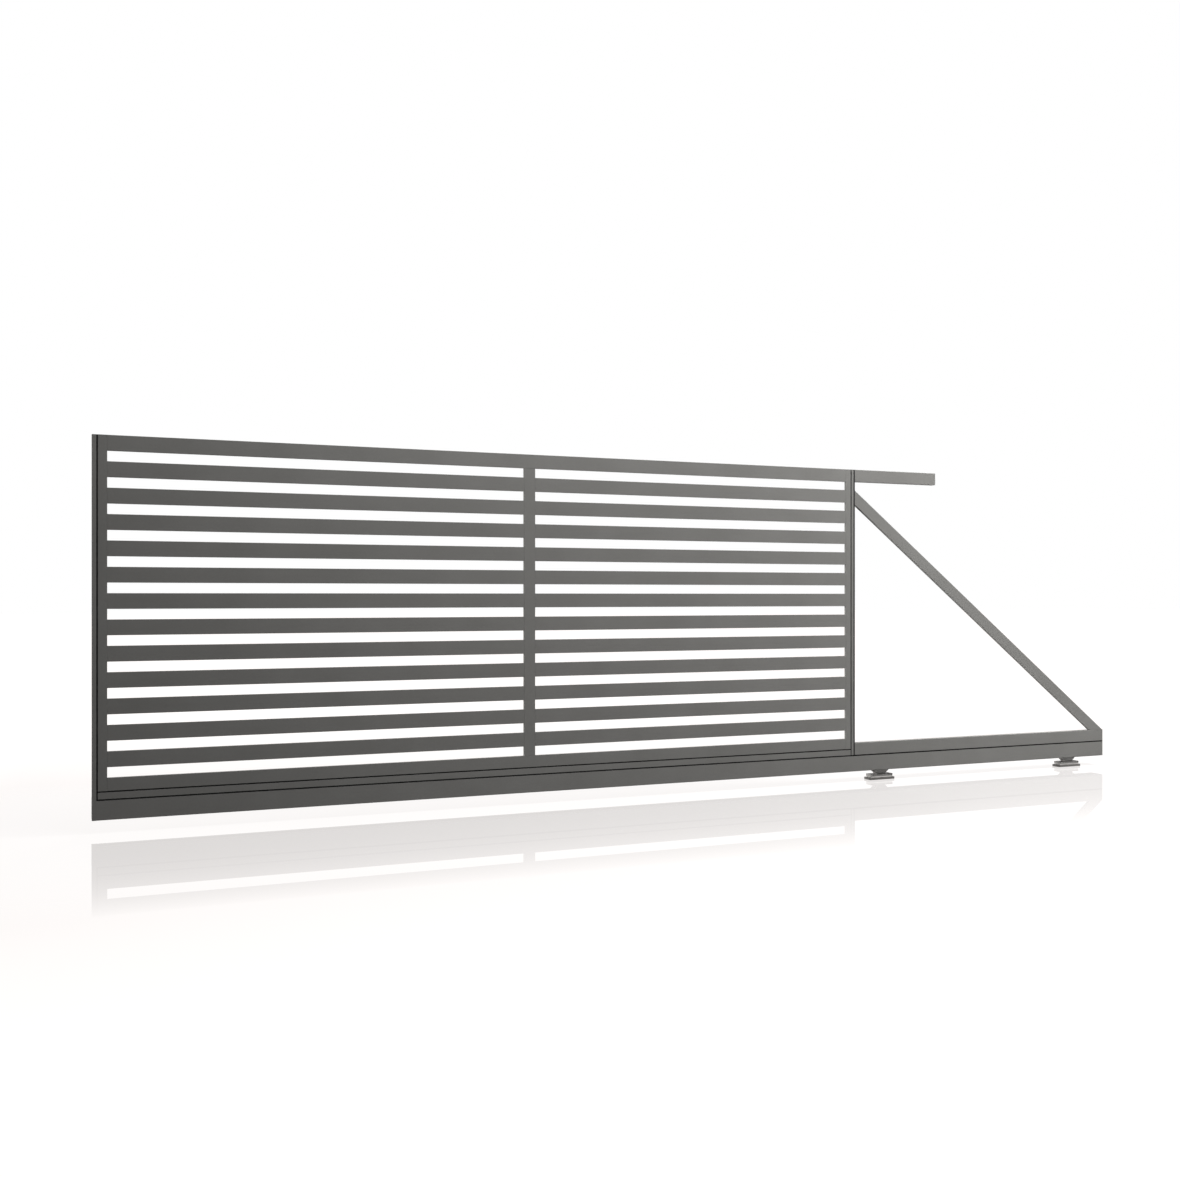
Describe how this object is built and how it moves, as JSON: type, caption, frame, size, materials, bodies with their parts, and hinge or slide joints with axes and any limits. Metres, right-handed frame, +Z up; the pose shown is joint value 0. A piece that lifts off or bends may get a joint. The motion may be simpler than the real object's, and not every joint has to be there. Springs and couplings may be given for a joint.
{
  "type": "cantilever sliding gate",
  "caption": "Aluminium cantilever sliding gate: a leaf of level slats with a triangular tail, on a hollow bottom rail that runs over roller carriages.",
  "frame": {"origin": "middle of the underside of the front carriage's foundation plate, on the foundation", "axes": "+X along the gate from its leading edge to its tail, the way it opens; +Y away from the flush side that is looked at; +Z up"},
  "size_m": [5, 0.08, 1.51],
  "materials": {
    "grey_powder_coat": "fine matt grey powder coat on extruded aluminium",
    "black_rubber": "matt black sealing rubber",
    "grey_cap_plastic": "moulded plastic in the grey of the coat",
    "dark_anodised": "dark anodised flat bar",
    "dark_steel": "dark primed steel plate",
    "bright_zinc": "bright zinc-plated steel packer",
    "grey_painted_steel": "painted welded steel",
    "bright_steel": "turned steel",
    "wheel_nylon": "moulded black nylon"
  },
  "bodies": {
    "carriages": {"front_foundation_plate": "dark_steel", "rear_foundation_plate": "dark_steel", "front_packer_plate": "bright_zinc", "rear_packer_plate": "bright_zinc", "front_truck": "grey_painted_steel", "rear_truck": "grey_painted_steel", "carriage_axles": "bright_steel", "carriage_wheels": "wheel_nylon"},
    "leaf": {"cantilever_rail": "grey_powder_coat", "rail_front_cap": "grey_powder_coat", "leading_profile": "grey_powder_coat", "trailing_profile": "grey_powder_coat", "lower_profile": "grey_powder_coat", "frame_top_beam": "grey_powder_coat", "left_stile": "grey_powder_coat", "right_stile": "grey_powder_coat", "mullion": "grey_powder_coat", "bottom_bar": "grey_powder_coat", "top_bar": "grey_powder_coat", "slat_01": "grey_powder_coat", "slat_02": "grey_powder_coat", "slat_03": "grey_powder_coat", "slat_04": "grey_powder_coat", "slat_05": "grey_powder_coat", "slat_06": "grey_powder_coat", "slat_07": "grey_powder_coat", "slat_08": "grey_powder_coat", "slat_09": "grey_powder_coat", "slat_10": "grey_powder_coat", "slat_11": "grey_powder_coat", "slat_12": "grey_powder_coat", "tail_top_beam": "grey_powder_coat", "tail_bottom_beam": "grey_powder_coat", "tail_brace": "grey_powder_coat", "rail_seam_strip": "black_rubber", "leading_gasket": "black_rubber", "trailing_gasket": "black_rubber", "bottom_gasket": "black_rubber", "rail_tail_cap": "grey_cap_plastic", "tail_beam_caps": "grey_cap_plastic", "tail_joint_plate": "dark_anodised"}
  },
  "joints": [
    {"name": "leaf_slide", "type": "slide", "parent": "carriages", "child": "leaf", "axis": [1, 0, 0], "range_m": [0, 3.3]}
  ]
}
